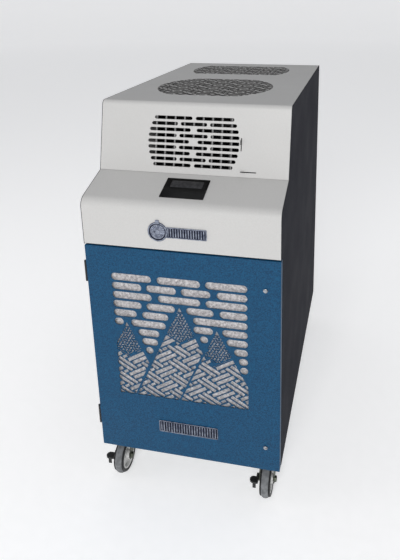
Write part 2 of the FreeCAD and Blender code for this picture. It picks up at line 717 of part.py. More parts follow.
def vane_link():
    """Comb that holds the rear edges of the vanes, with a lever out through the lower slit."""
    shift = -VANE_CRANK * math.sin(math.radians(VANE_REST))
    n0, n1 = VANE_PIVOT_N + VANE_CRANK - 3.5, VANE_PIVOT_N + VANE_CRANK + 8.5
    comb = box(-106.4, 106.4, n0, n1, -160.5, -158.0)
    for x in vane_xs():
        comb = comb.cut(box(x - 2.3, x + 2.3, n0 - 1, n1 - 3.2, -165, -155))
    arm = box(106.0, 154.0, n1 - 7, n1, -160.5, -158.0)
    drop = box(144.0, 154.0, n1 - 2.5, n1, -171.7, -158.0)
    lever = box(144.0, 154.0, -9.0, n1, -171.7, -170.3)
    shape = fuse([comb, arm, drop, lever])
    shape.translate(V(shift, 0, 0))
    return vent_frame(shape)


def blade(z):
    """Level blade behind the vanes, with pivot pins and a crank pin at its right end."""
    half = BOX_HALF - 1.0
    plate = box(-half, half, -2.5, BLADE_CRANK + 1.5, -0.6, 0.6)
    barrel = cyl(2.2, 2 * half, (-half, 0, 0), X_AXIS)
    pivot = cyl(PIN_R, 2 * BOX_HALF + 2.6, (-BOX_HALF - 1.3, 0, 0), X_AXIS)
    crank = cyl(PIN_R, 14.0, (half - 6, BLADE_CRANK, 0), X_AXIS)
    shape = fuse([plate, barrel, pivot, crank])
    shape.Placement = Placement(V(0, BLADE_PIVOT_N, z), Rotation(X_AXIS, BLADE_REST))
    return vent_frame(shape)


def blade_link():
    """Slotted bar that joins the blades' crank pins, with a lever out through the upright slit."""
    lift = BLADE_CRANK * math.sin(math.radians(BLADE_REST))
    x0, x1 = 126.3, 127.9
    zs = blade_zs()
    n = BLADE_PIVOT_N + BLADE_CRANK
    spine = box(x0, x1, n - 7, n + 5, zs[0] - 8, zs[-1] + 8)
    arm = box(x0, x1, 20.0, n, -107.5, -95.5)
    step = box(x0, 129.0, 20.0, 24.0, -107.5, -95.5)
    lever = box(x1 - 0.4, 129.0, -9.0, 24.0, -107.5, -95.5)
    shape = fuse([spine, arm, step, lever])
    reach = PIN_R + 0.3
    for z in zs:
        shape = shape.cut(box(x0 - 1, x0 + 3, n - 4.2, n + 2.0, z - reach, z + reach))
    shape.translate(V(0, 0, lift))
    return vent_frame(shape)


# ---------------------------------------------------------------- works inside
def coil(y0):
    """Fin pack: thin upright fins on two rows of level tubes between two end plates."""
    deep = 2 * COIL_ROW
    margin = 6.0
    fins = []
    for x in range(round(COIL_X0 + margin), round(COIL_X1 - 4), 9):
        fins.append(box(x, x + 0.6, y0, y0 + deep, COIL_Z0, COIL_Z1))
    ends = []
    for x in (COIL_X0, COIL_X1 - SHEET):
        ends.append(box(x, x + SHEET, y0 - 2, y0 + deep + 2, COIL_Z0 - 5, COIL_Z1 + 5))
    tubes = []
    for row in range(2):
        for step in range(COIL_TUBES):
            y, z = y0 + COIL_ROW * (row + 0.5), COIL_Z0 + COIL_ROW + step * COIL_TUBE_PITCH
            tubes.append(cyl(4.8, COIL_X1 - COIL_X0, (COIL_X0, y, z), X_AXIS))
    return fuse(fins + ends + tubes)


def drain_pan():
    """Moulded tray under the coils, with a gutter and a spout to the rear."""
    y0, y1 = CAB_Y + 12, CAB_Y + 190
    z0, z1 = FLOOR_Z + 8, FLOOR_Z + 34
    wall = 2.5
    tray = box(-200, 190, y0, y1, z0, z1)
    gutter = box(-240, -205, y0 + 60, BACK - 45, z0, z1)
    neck = box(-215, -195, y0 + 60, y0 + 100, z0, z1)
    outer = fuse([tray, gutter, neck])
    room = [
        box(-200 + wall, 190 - wall, y0 + wall, y1 - wall, z0 + wall, z1 + 1),
        box(-240 + wall, -205 - wall, y0 + 60 + wall, BACK - 45 - wall, z0 + wall, z1 + 1),
        box(-220, -190, y0 + 60 + wall, y0 + 100 - wall, z0 + wall, z1 + 1),
    ]
    neck_tube = drain_spout(0.0)
    barb = cyl(SPOUT_R, 15, (SPOUT_X, BACK, SPOUT_Z), Y_AXIS)
    bore = cyl(SPOUT_R - 2, 80, (SPOUT_X, BACK - 52, SPOUT_Z), Y_AXIS)
    return fuse([outer.cut(Part.Compound(room)), neck_tube, barb]).cut(bore)


def foot_spots():
    turn = [math.radians(90 + 120 * i) for i in range(3)]
    reach = COMPRESSOR_FEET
    return [(COMPRESSOR_X + reach * math.cos(t), COMPRESSOR_Y + reach * math.sin(t)) for t in turn]


def compressor():
    """Hermetic pot on three feet, with its suction accumulator alongside."""
    x, y, z0 = COMPRESSOR_X, COMPRESSOR_Y, COMPRESSOR_Z
    pot = cyl(62, 190, (x, y, z0 + 3))
    pot = pot.makeFillet(24, [e for e in pot.Edges if e.Length > 380])
    feet = [cyl(14, 3, (fx, fy, z0)) for fx, fy in foot_spots()]
    spider = cyl(70, 3, (x, y, z0))
    accumulator = cyl(24, 120, (ACCUMULATOR_X, y, z0 + 50))
    accumulator = accumulator.makeFillet(11, [e for e in accumulator.Edges if e.Length > 148])
    strap = box(ACCUMULATOR_X + 2, x - 40, y - 9, y + 9, z0 + 100, z0 + 106)
    body = fuse([pot, spider, accumulator, strap] + feet)
    holes = [cyl(4.6, 20, (fx, fy, z0 - 5)) for fx, fy in foot_spots()]
    return body.cut(Part.Compound(holes))


def compressor_mounts():
    """Rubber buffers, each waisted through a foot of the compressor."""
    z0 = FLOOR_Z + SHEET
    solids = []
    for x, y in foot_spots():
        lower = cyl(12, 16, (x, y, z0))
        neck = cyl(4.6, 20, (x, y, z0 + 2))
        upper = cyl(9, 4, (x, y, z0 + 19))
        solids.append(fuse([lower, neck, upper]))
    return Part.Compound(solids)


def pipe(points, radius, bend):
    """Round pipe along straight runs joined by tangent bends."""
    points = [V(*p) for p in points]
    edges = []
    last = points[0]
    for before, corner, after in zip(points, points[1:], points[2:]):
        into = (corner - before).normalize()
        away = (after - corner).normalize()
        turn = into.getAngle(away)
        reach = bend * math.tan(turn / 2)
        middle = corner + (away - into).normalize() * (bend / math.cos(turn / 2) - bend)
        start, end = corner - into * reach, corner + away * reach
        edges.append(Part.LineSegment(last, start).toShape())
        edges.append(Part.Arc(start, middle, end).toShape())
        last = end
    edges.append(Part.LineSegment(last, points[-1]).toShape())
    section = Part.Wire(Part.Circle(points[0], points[1] - points[0], radius).toShape())
    return Part.Wire(edges).makePipeShell([section], True, False)


def refrigerant_pipes():
    """Copper: discharge and suction lines, liquid line with its drier, and the coils' bends."""
    x, y, z0 = COMPRESSOR_X, COMPRESSOR_Y, COMPRESSOR_Z
    end_x = COIL_X1 + 0.2
    high, low = 420.0, 388.0
    hot_x, hot_y, hot_z = 207.0, CONDENSER_Y + COIL_ROW / 2, 474.0
    cold_x, cold_y, cold_z = 225.0, EVAPORATOR_Y + COIL_ROW / 2, 426.0
    discharge = [(x, y, z0 + 193), (x, y, high), (hot_x, y, high), (hot_x, hot_y, high)]
    discharge += [(hot_x, hot_y, hot_z), (end_x, hot_y, hot_z)]
    suction = [(ACCUMULATOR_X, y, z0 + 170), (ACCUMULATOR_X, y, low), (cold_x, y, low)]
    suction += [(cold_x, cold_y, low), (cold_x, cold_y, cold_z), (end_x, cold_y, cold_z)]
    solids = [pipe(discharge, 5.0, 16.0), pipe(suction, 6.0, 16.0)]
    drier = cyl(16, 90, (218, -120, 560))
    solids.append(drier.makeFillet(7, [e for e in drier.Edges if e.Length > 98]))
    start_x, bend_x = COIL_X0 - 0.2, COIL_X0 - 11.0
    for y0 in (EVAPORATOR_Y, CONDENSER_Y):
        for row in range(2):
            for step in range(0, COIL_TUBES, 2):
                across = y0 + COIL_ROW * (row + 0.5)
                lower = COIL_Z0 + COIL_ROW + step * COIL_TUBE_PITCH
                upper = lower + COIL_TUBE_PITCH
                run = [(start_x, across, lower), (bend_x, across, lower)]
                run += [(bend_x, across, upper), (start_x, across, upper)]
                solids.append(pipe(run, 4.6, 9.0))
    return Part.Compound(solids)


def electrical_box():
    """Closed steel box behind the fascia, with the control board and relays in it."""
    y0 = FRONT + 16
    body = box(-115, 115, y0, y0 + 78, FASCIA_Z + 6, FASCIA_Z + 84)
    body = body.cut(box(-113.5, 113.5, y0, y0 + 76.5, FASCIA_Z + 7.5, FASCIA_Z + 82.5))
    lid = box(-118, 118, y0 - 1.2, y0, FASCIA_Z + 4, FASCIA_Z + 86)
    return fuse([body, lid])


def fan_deck():
    """Plate under the top with a bell mouth and a four-arm motor carrier for each fan."""
    y0, y1 = FRONT + 240, BACK - 4
    half = INNER - 2
    plate = box(-half, half, y0, y1, DECK_Z, DECK_Z + 2)
    for y in FAN_YS.values():
        plate = plate.cut(cyl(FAN_R + 6, 10, (FAN_X, y, DECK_Z - 4)))
    parts = [plate]
    for y in FAN_YS.values():
        parts.append(tube(FAN_R + 8, FAN_R + 5.5, 34, (FAN_X, y, DECK_Z - 20)))
        parts.append(tube(47.5, 41, 4, (FAN_X, y, DECK_Z - 24)))
        for quarter in range(4):
            arm = box(44, FAN_R + 7, -4, 4, DECK_Z - 24, DECK_Z - 20)
            arm.rotate(V(0, 0, 0), Z_AXIS, 45 + 90 * quarter)
            arm.translate(V(FAN_X, y, 0))
            parts.append(arm)
    return fuse(parts)


def fan_motors():
    solids = []
    for y in FAN_YS.values():
        can = cyl(40.5, 60, (FAN_X, y, DECK_Z - 84))
        can = can.makeFillet(6, [e for e in can.Edges if e.Length > 250])
        flange = cyl(47, 3, (FAN_X, y, DECK_Z - 27))
        shaft = cyl(6, 40, (FAN_X, y, DECK_Z - 26))
        solids.append(fuse([can, flange, shaft]))
    return Part.Compound(solids)


def fan(y):
    """Five-bladed axial wheel on a cup hub."""
    hub = tube(46, 6 + FIT, 22, (0, 0, DECK_Z - 14))
    hub = hub.cut(tube(42, 12, 18, (0, 0, DECK_Z - 15)))
    blades = []
    for i in range(5):
        paddle = box(44, FAN_R + 10, -48, 48, -1.1, 1.1)
        paddle.rotate(V(0, 0, 0), X_AXIS, 15)
        paddle.translate(V(0, 0, DECK_Z - 2))
        paddle.rotate(V(0, 0, 0), Z_AXIS, 72 * i)
        blades.append(paddle.common(tube(FAN_R, 44, 60, (0, 0, DECK_Z - 30))))
    wheel = fuse([hub] + blades)
    wheel.translate(V(FAN_X, y, 0))
    return wheel


def cord_gland():
    """Cord gland in the rear panel: shouldered body, lock nut inside and domed cap outside."""
    def turned(radius, start, length):
        return cyl(radius, length, (GLAND_X, start, GLAND_Z), Y_AXIS)

    shank = turned(10.0, BACK - 12, 14)
    shoulder = turned(15.0, BACK, 5)
    nut = turned(14.0, BACK - SHEET - 5, 5)
    cap = turned(12.5, BACK + 5, 8)
    cap = cap.makeFillet(5.0, [e for e in cap.Edges if abs(e.CenterOfMass.y - BACK - 13) < 0.01])
    return fuse([shank, shoulder, nut, cap]).cut(turned(GLAND_BORE, BACK - 20, 40))


def fasteners():
    """Caster bolts with nuts, and rear panel screws."""
    solids = []
    plate_t = 3.5
    for x, y in caster_bolts():
        head = cyl(6.5, 5, (x, y, FLOOR_Z + SHEET))
        shank = cyl(4.0, 18, (x, y, FLOOR_Z - plate_t - 8))
        nut = cyl(6.5, 5, (x, y, FLOOR_Z - plate_t - 5))
        solids.append(fuse([head, shank, nut]))
    for x, y, z in rear_screws():
        head = cyl(4.2, 2.2, (x, y, z), Y_AXIS)
        head = head.makeFillet(1.2, [e for e in head.Edges if abs(e.CenterOfMass.y - y - 2.2) < 0.01])
        shank = cyl(2.0, 9, (x, y - 8.5, z), Y_AXIS)
        solids.append(fuse([head, shank]))
    return Part.Compound(solids)


# ---------------------------------------------------------------- casters
def caster_plates():
    """Top plates with the fixed half of the swivel bearing and the king pin."""
    solids = []
    for x, y, _ in CASTERS.values():
        plate = rounded_box(x - 35, x + 35, y - 46, y + 46, FLOOR_Z - 3.5, FLOOR_Z, 6, Z_AXIS)
        for u in (-27, 27):
            for v in (-36, 36):
                plate = plate.cut(cyl(4.1, 10, (x + u, y + v, FLOOR_Z - 6)))
        race = cyl(26, 10.5, (x, y, FLOOR_Z - 14))
        pin = cyl(6, 20, (x, y, FLOOR_Z - 24))
        head = cyl(10, 3, (x, y, FLOOR_Z - 23.9))
        solids.append(fuse([plate, race, pin, head]))
    return Part.Compound(solids)


def caster_fork(x, y, trail, braked):
    """Pressed fork hanging from the bearing, with its axle bolt and nut."""
    crown_z = FLOOR_Z - 14 - GAP
    axle_y = y + trail
    crown = cyl(31, 4.5, (x, y, crown_z - 4.5))
    out = FORK_IN + FORK_T
    parts = []
    for side in (-1, 1):
        lo, hi = sorted((side * FORK_IN, side * out))
        s = math.copysign(1, trail)
        legs = [
            (x + lo, y - s * 22, crown_z),
            (x + lo, y + s * 26, crown_z),
            (x + lo, axle_y + s * 11, WHEEL_R + 4),
            (x + lo, axle_y + s * 8, WHEEL_R - 9),
            (x + lo, axle_y - s * 8, WHEEL_R - 9),
            (x + lo, axle_y - s * 12, WHEEL_R + 4),
        ]
        parts.append(prism(legs, V(hi - lo, 0, 0)))
    bridge = box(x - out, x + out, y - 22, y + 22, crown_z - 4.5, crown_z)
    yoke = fuse([crown, bridge] + parts)
    yoke = yoke.cut(cyl(6 + FIT, 30, (x, y, crown_z - 20)))
    yoke = yoke.cut(cyl(AXLE_R, 60, (x - 30, axle_y, WHEEL_R), X_AXIS))
    reach = out + (3.4 if braked else 0.0)
    bolt = cyl(AXLE_R, reach + out + 6, (x - reach - 0.5, axle_y, WHEEL_R), X_AXIS)
    head = hexagon(x - reach - 4.5, axle_y, 8.0, 4.0)
    nut = hexagon(x + out, axle_y, 8.5, 5.0)
    return Part.Compound([yoke, fuse([bolt, head, nut])])


def hexagon(x, y, radius, length):
    """Hexagonal bolt head or nut on the axle line."""
    turn = [math.radians(60 * i) for i in range(6)]
    points = [(x, y + radius * math.cos(t), WHEEL_R + radius * math.sin(t)) for t in turn]
    return prism(points, V(length, 0, 0))


def spun(outline, x, y):
    """Closed (radius, across) outline turned about the axle line."""
    points = [V(0, 0, r) + V(a, 0, 0) for r, a in outline]
    face = Part.Face(Part.makePolygon(points + points[:1]))
    solid = face.revolve(V(0, 0, 0), X_AXIS, 360)
    solid.translate(V(x, y, WHEEL_R))
    return solid


def caster_wheel(x, y):
    """Moulded wheel centre: hub, thin web and rim."""
    bore, hub, rim = AXLE_R + FIT, 12.0, TREAD_R
    half = [(bore, 17), (hub, 17), (hub + 2, 5), (rim - 6, 4), (rim - 4, 13), (rim, 13)]
    mirror = [(r, -a) for r, a in reversed(half)]
    return spun(half + mirror, x, y)


def caster_tyre(x, y):
    """Rounded tread on the rim of the wheel centre."""
    half = WHEEL_W / 2
    side = [(TREAD_R, half - 2), (TREAD_R + 2, half), (WHEEL_R - 7, half), (WHEEL_R - 2.5, half - 4)]
    side += [(WHEEL_R, half - 10)]
    mirror = [(r, -a) for r, a in reversed(side)]
    return spun(side + mirror, x, y)


def brake_lever(x, y):
    """Side brake: lever on the axle outside the fork, with a rounded foot pad and a release tab in front."""
    x1 = x - FORK_IN - FORK_T - 0.5
    x0 = x1 - 2.4
    eye = cyl(10, x1 - x0, (x0, y, WHEEL_R), X_AXIS)
    outline = [(4, -9), (4, 9), (-30, 13), (-30, 4)]
    arm = prism([(x0, y + v, WHEEL_R + w) for v, w in outline], V(x1 - x0, 0, 0))
    pad = box(x0 - 10, x1, y - 34, y - 14, WHEEL_R + 8, WHEEL_R + 13)
    toe = cyl(10, 5, (x0 - 10, y - 24, WHEEL_R + 8))
    tab = box(x0 - 11, x0 - 2, y - 34, y - 31.6, WHEEL_R - 7, WHEEL_R + 9)
    bore = cyl(AXLE_R + FIT, 10, (x0 - 3, y, WHEEL_R), X_AXIS)
    return fuse([eye, arm, pad, toe, tab]).cut(bore)


# ---------------------------------------------------------------- the parts
def all_parts():
    parts = {
        "base_pan": base_pan(),
        "left_side_panel": side_panel(-1),
        "right_side_panel": side_panel(1),
        "rear_panel": rear_panel(),
        "top_hood": top_hood(),
        "control_fascia": control_fascia(),
        "front_frame": front_frame(),
        "display_window": display_window(),
        "fascia_badge": fascia_badge(),
        "door_gasket": door_gasket(),
        "cabinet_hinges": cabinet_hinges(),
        "door_hinge_leaves": door_hinge_leaves(),
        "door_panel": door_panel(),
        "door_badge": door_badge(),
        "mesh_filter": mesh_filter(),
        "deflector_box": deflector_box(),
        "vane_link": vane_link(),
        "blade_link": blade_link(),
        "evaporator_coil": coil(EVAPORATOR_Y),
        "condenser_coil": coil(CONDENSER_Y),
        "drain_pan": drain_pan(),
        "compressor": compressor(),
        "compressor_mounts": compressor_mounts(),
        "refrigerant_pipes": refrigerant_pipes(),
        "electrical_box": electrical_box(),
        "fan_deck": fan_deck(),
        "fan_motors": fan_motors(),
        "cord_gland": cord_gland(),
        "fasteners": fasteners(),
        "caster_plates": caster_plates(),
    }
    for name, z in LATCH_ZS.items():
        parts[f"{name}_latch"] = latch(z)
    for name, y in FAN_YS.items():
        parts[f"{name}_fan"] = fan(y)
    for i, x in enumerate(vane_xs(), 1):
        parts[f"vane_{i}"] = vane(x)
    for i, z in enumerate(blade_zs(), 1):
        parts[f"blade_{i}"] = blade(z)
    for name, (x, y, side) in CASTERS.items():
        braked = side < 0
        parts[f"{name}_fork"] = caster_fork(x, y, side * TRAIL, braked)
        parts[f"{name}_wheel"] = caster_wheel(x, y + side * TRAIL)
        parts[f"{name}_tyre"] = caster_tyre(x, y + side * TRAIL)
        if braked:
            parts[f"{name}_brake"] = brake_lever(x, y + side * TRAIL)
    return parts


os.makedirs("parts", exist_ok=True)
for node, shape in all_parts().items():
    if not shape.isValid():
        print("invalid:", node)
    shape.exportStep(f"parts/{node}.step")
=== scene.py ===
import math

import bmesh
import bpy
from mathutils import Matrix, Vector, noise


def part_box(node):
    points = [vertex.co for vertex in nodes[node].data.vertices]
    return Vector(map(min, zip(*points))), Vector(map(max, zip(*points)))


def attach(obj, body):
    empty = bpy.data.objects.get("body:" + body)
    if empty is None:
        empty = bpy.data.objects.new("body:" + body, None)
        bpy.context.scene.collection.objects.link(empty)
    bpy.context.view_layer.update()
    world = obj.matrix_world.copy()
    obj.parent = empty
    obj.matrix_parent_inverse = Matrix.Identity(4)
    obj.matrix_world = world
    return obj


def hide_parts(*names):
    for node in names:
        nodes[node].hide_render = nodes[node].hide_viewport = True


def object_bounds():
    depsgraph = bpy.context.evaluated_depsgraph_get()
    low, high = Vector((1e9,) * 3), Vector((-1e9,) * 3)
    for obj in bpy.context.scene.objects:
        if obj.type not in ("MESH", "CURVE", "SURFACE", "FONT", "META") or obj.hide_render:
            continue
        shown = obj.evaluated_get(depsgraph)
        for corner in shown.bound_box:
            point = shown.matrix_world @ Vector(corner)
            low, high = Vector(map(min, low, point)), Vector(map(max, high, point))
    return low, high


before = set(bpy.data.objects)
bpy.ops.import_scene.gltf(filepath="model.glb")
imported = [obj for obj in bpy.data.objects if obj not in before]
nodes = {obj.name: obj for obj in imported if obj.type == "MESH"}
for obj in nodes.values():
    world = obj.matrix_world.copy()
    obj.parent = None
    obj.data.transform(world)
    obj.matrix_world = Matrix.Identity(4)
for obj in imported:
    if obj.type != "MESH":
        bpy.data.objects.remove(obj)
cad_low, cad_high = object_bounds()

# ---------------------------------------------------------------- camera
# The camera stands off the machine's right front corner, a little above its top, and looks down
# on it. Its lens is shifted down instead of tilted further, so upright edges stay nearly parallel.
CAMERA_PLACE = (0.4258, -1.6383, 1.3600)
CAMERA_PAN = 11.79
CAMERA_TILT = 15.80
CAMERA_ROLL = -0.445
camera_data = bpy.data.cameras.new("camera")
camera_data.lens = 35.43
camera_data.sensor_width = 36.0
camera_data.shift_x = -0.0909
camera_data.shift_y = -0.2398
camera = bpy.data.objects.new("camera", camera_data)
camera.matrix_world = (
    Matrix.Translation(CAMERA_PLACE)
    @ Matrix.Rotation(math.radians(CAMERA_PAN), 4, "Z")
    @ Matrix.Rotation(math.radians(90 - CAMERA_TILT), 4, "X")
    @ Matrix.Rotation(math.radians(CAMERA_ROLL), 4, "Z")
)
bpy.context.scene.collection.objects.link(camera)
bpy.context.scene.camera = camera


# ---------------------------------------------------------------- studio
# A sweep of white paper under a large softbox in front of the machine. Weaker boxes above and on
# the left and a small strip on the right keep the other faces readable.
def colour(red, green, blue):
    """Colour from its eight-bit display values."""
    shares = [channel / 255 for channel in (red, green, blue)]
    return tuple(share / 12.92 if share <= 0.04045 else ((share + 0.055) / 1.055) ** 2.4
                 for share in shares) + (1.0,)


def material(name, roughness=0.5, metallic=0.0, **inputs):
    """New material. A value that is the same all over goes straight onto the shader."""
    made = bpy.data.materials.new(name)
    made.use_nodes = True
    shader = made.node_tree.nodes["Principled BSDF"]
    shader.inputs["Roughness"].default_value = roughness
    shader.inputs["Metallic"].default_value = metallic
    for label, value in inputs.items():
        shader.inputs[label.replace("_", " ")].default_value = value
    return made


def node(made, kind, **settings):
    """Shader node with its inputs or properties set by name."""
    new = made.node_tree.nodes.new(kind)
    for label, value in settings.items():
        if label in new.inputs:
            new.inputs[label].default_value = value
        else:
            setattr(new, label, value)
    return new


def link(made, source, target):
    made.node_tree.links.new(source, target)


def shader_input(made, label):
    return made.node_tree.nodes["Principled BSDF"].inputs[label]


def grain(made, scale, detail=3.0, stretch=(1.0, 1.0, 1.0)):
    """Noise over the object's own space. A larger scale is finer."""
    place = node(made, "ShaderNodeTexCoord")
    mapping = node(made, "ShaderNodeMapping", Scale=stretch)
    texture = node(made, "ShaderNodeTexNoise", Scale=scale, Detail=detail)
    link(made, place.outputs["Object"], mapping.inputs["Vector"])
    link(made, mapping.outputs["Vector"], texture.inputs["Vector"])
    return texture.outputs["Fac"]


def ramp(made, amount, *stops):
    """Colour between (position, colour) stops."""
    band = node(made, "ShaderNodeValToRGB")
    points = band.color_ramp.elements
    while len(points) < len(stops):
        points.new(0.5)
    for point, (position, shade) in zip(points, stops):
        point.position = position
        point.color = shade
    link(made, amount, band.inputs["Fac"])
    return band.outputs["Color"]


SWEEP_R = 14.0
SWEEP_BEND = 4.0
SWEEP_TURN = 80
SWEEP_STEPS = 8
floor_mesh = bmesh.new()
profile = [floor_mesh.verts.new((0.0, 0.0, 0.0)), floor_mesh.verts.new((SWEEP_R, 0.0, 0.0))]
for bend_step in range(1, SWEEP_STEPS + 1):
    rise = math.radians(bend_step * SWEEP_TURN / SWEEP_STEPS)
    profile.append(floor_mesh.verts.new(
        (SWEEP_R + SWEEP_BEND * math.sin(rise), 0.0, SWEEP_BEND * (1 - math.cos(rise)))))
rim = [floor_mesh.edges.new(pair) for pair in zip(profile, profile[1:])]
bmesh.ops.spin(floor_mesh, geom=profile + rim, cent=(0, 0, 0), axis=(0, 0, 1), angle=math.tau,
               steps=96, use_merge=True)
bmesh.ops.remove_doubles(floor_mesh, verts=floor_mesh.verts, dist=0.0001)
bmesh.ops.recalc_face_normals(floor_mesh, faces=floor_mesh.faces)
for face in floor_mesh.faces:
    face.smooth = True
floor_data = bpy.data.meshes.new("floor")
floor_mesh.to_mesh(floor_data)
floor_mesh.free()
floor = bpy.data.objects.new("floor", floor_data)
bpy.context.scene.collection.objects.link(floor)
paper = material("white_paper", roughness=0.9, Emission_Strength=0.40)
paper_fibre = grain(paper, 40.0)
link(paper, ramp(paper, paper_fibre, (0.4, colour(236, 236, 236)), (0.6, colour(240, 240, 240))),
     shader_input(paper, "Base Color"))
shader_input(paper, "Emission Color").default_value = (1.0, 1.0, 1.0, 1.0)
floor_data.materials.append(paper)

world = bpy.data.worlds.new("studio")
world.use_nodes = True
world.node_tree.nodes["Background"].inputs["Color"].default_value = (0.93, 0.95, 1.0, 1.0)
world.node_tree.nodes["Background"].inputs["Strength"].default_value = 0.33
bpy.context.scene.world = world
bpy.context.scene.view_settings.view_transform = "Standard"

MACHINE_MIDDLE = (cad_low + cad_high) / 2


def softbox(name, place, width, height, power):
    """Rectangular light that faces the middle of the machine."""
    data = bpy.data.lights.new(name, "AREA")
    data.shape = "RECTANGLE"
    data.size = width
    data.size_y = height
    data.energy = power
    lamp = bpy.data.objects.new(name, data)
    lamp.location = place
    lamp.rotation_mode = "QUATERNION"
    lamp.rotation_quaternion = (MACHINE_MIDDLE - Vector(place)).to_track_quat("-Z", "Y")
    bpy.context.scene.collection.objects.link(lamp)


softbox("front_softbox", (0.4, -6.0, 3.0), width=2.6, height=2.0, power=215.0)
softbox("top_softbox", (0.0, 0.4, 3.6), width=2.2, height=2.2, power=9.0)
softbox("left_softbox", (-2.8, -1.4, 1.5), width=1.0, height=1.6, power=8.0)
softbox("right_strip", (2.6, 1.4, 1.7), width=0.4, height=1.2, power=2.0)


# ---------------------------------------------------------------- door
# A folded steel pan with the air openings punched through its face, finished in textured blue
# powder coat. It hangs on two hinges and carries the filter on its back.
def dress(finish, *names):
    """Give CAD nodes their finish."""
    for name in names:
        nodes[name].data.materials.clear()
        nodes[name].data.materials.append(finish)


def spread(made, amount, low, high):
    """Amount carried from the middle range of a noise to low and high."""
    span = node(made, "ShaderNodeMapRange")
    for label, value in (("From Min", 0.3), ("From Max", 0.7), ("To Min", low), ("To Max", high)):
        span.inputs[label].default_value = value
    link(made, amount, span.inputs["Value"])
    return span.outputs["Result"]


def relief(made, *layers):
    """Bumps over each other, each an amount with its height in metres."""
    last = None
    for amount, height in layers:
        bump = node(made, "ShaderNodeBump", Distance=height)
        link(made, amount, bump.inputs["Height"])
        if last:
            link(made, last.outputs["Normal"], bump.inputs["Normal"])
        last = bump
    link(made, last.outputs["Normal"], shader_input(made, "Normal"))


def powder_coat(name, deep, light, roughness, peel, gloss):
    """Textured powder coat: fine speckle, faint clouding, and orange peel of the given height."""
    coat = material(name, Specular_IOR_Level=gloss)
    speckle = grain(coat, 420.0, detail=2.0)
    clouds = grain(coat, 7.0, detail=4.0)
    link(coat, ramp(coat, speckle, (0.36, deep), (0.64, light)), shader_input(coat, "Base Color"))
    link(coat, spread(coat, clouds, roughness - 0.05, roughness + 0.06),
         shader_input(coat, "Roughness"))
    relief(coat, (grain(coat, 650.0, detail=1.0), peel),
           (grain(coat, 60.0, detail=2.0), peel * 1.5))
    return coat


blue_coat = powder_coat("blue_powder_coat", colour(1, 50, 82), colour(8, 76, 112),
                        roughness=0.5, peel=0.00008, gloss=0.25)
dress(blue_coat, "door_panel")


# ---------------------------------------------------------------- door badge
# A blank plate of satin metal low on the door: a raised rim round a field of fine upright flutes.
# It stands where a maker would put a name.
def block(shape, low, high):
    """Add a box between two corners."""
    middle, size = (Vector(low) + Vector(high)) / 2, Vector(high) - Vector(low)
    place = Matrix.Translation(middle) @ Matrix.Diagonal((*size, 1.0))
    return bmesh.ops.create_cube(shape, size=1.0, matrix=place)["verts"]


def edges_along(verts, axis):
    """Edges of a block that run along one axis."""
    found = {edge for vert in verts for edge in vert.link_edges}
    return [e for e in found if abs((e.verts[0].co - e.verts[1].co).normalized()[axis]) > 0.9]


def round_corners(shape, edges, radius, segments=4):
    bmesh.ops.bevel(shape, geom=edges, offset=radius, segments=segments, profile=0.5,
                    affect="EDGES", material=-1)


def piece(name, shape, body, slot, *finishes):
    """Turn a finished bmesh into an object that rides on a body."""
    bmesh.ops.recalc_face_normals(shape, faces=shape.faces)
    data = bpy.data.meshes.new(name)
    shape.to_mesh(data)
    shape.free()
    for face in data.polygons:
        face.use_smooth = True
    data.set_sharp_from_angle(angle=math.radians(32))
    for finish in finishes:
        data.materials.append(finish)
    made = bpy.data.objects.new(name, data)
    bpy.context.scene.collection.objects.link(made)
    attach(made, body)
    return made


def metal(name, deep, light, smooth, rough, scale, stretch=(1.0, 1.0, 1.0), scratch=0.00001):
    """Bare or plated metal: colour and gloss drift with one grain, fine scratches with another."""
    made = material(name, metallic=1.0)
    drift = grain(made, scale, detail=5.0, stretch=stretch)
    link(made, ramp(made, drift, (0.35, deep), (0.65, light)), shader_input(made, "Base Color"))
    link(made, spread(made, grain(made, scale * 2.3, detail=3.0, stretch=stretch), smooth, rough),
         shader_input(made, "Roughness"))
    relief(made, (grain(made, scale * 6.0, detail=2.0, stretch=stretch), scratch))
    return made


# A flute's start, width and rounding are shares of the pitch. Its back and front are shares of the
# groove round the field.
FLUTE_START = 0.2
FLUTE_WIDTH = 0.5
FLUTE_ROUNDING = 0.12
FLUTE_FRONT = 0.3
FLUTE_BACK = 1.5


def rimmed_plate(shape, low, high, rim, groove, flutes, corner):
    """Plate that faces the door's front, with a rim and a fluted field."""
    outline = block(shape, low, high)
    round_corners(shape, edges_along(outline, 1), corner)
    shape.normal_update()
    front = [face for face in shape.faces
             if face.normal.y < -0.9 and abs(face.calc_center_median().y - low[1]) < 1e-5]
    bmesh.ops.inset_region(shape, faces=front, thickness=rim, use_even_offset=True)
    bmesh.ops.inset_region(shape, faces=front, thickness=groove, depth=-groove,
                           use_even_offset=True)
    for face in front:
        face.material_index = 1
    margin = rim + 2 * groove
    field_low, field_high = low[0] + margin, high[0] - margin
    pitch = (field_high - field_low) / flutes
    for number in range(flutes):
        left = field_low + (number + FLUTE_START) * pitch
        flute = block(shape, (left, low[1] + groove * FLUTE_FRONT, low[2] + margin),
                      (left + pitch * FLUTE_WIDTH, low[1] + groove * FLUTE_BACK, high[2] - margin))
        round_corners(shape, edges_along(flute, 2), pitch * FLUTE_ROUNDING, segments=2)


badge_metal = metal("badge_metal", colour(96, 102, 118), colour(150, 156, 170), 0.16, 0.3, 120.0)
badge_ground = metal("badge_ground", colour(20, 24, 36), colour(40, 46, 62), 0.3, 0.46, 150.0)
plate = bmesh.new()
plate_low, plate_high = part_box("door_badge")
rimmed_plate(plate, plate_low, plate_high, rim=0.0022, groove=0.0007, flutes=22, corner=0.003)
door_plate = piece("door_badge_plate", plate, "door", "badge_metal", badge_metal, badge_ground)
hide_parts("door_badge")


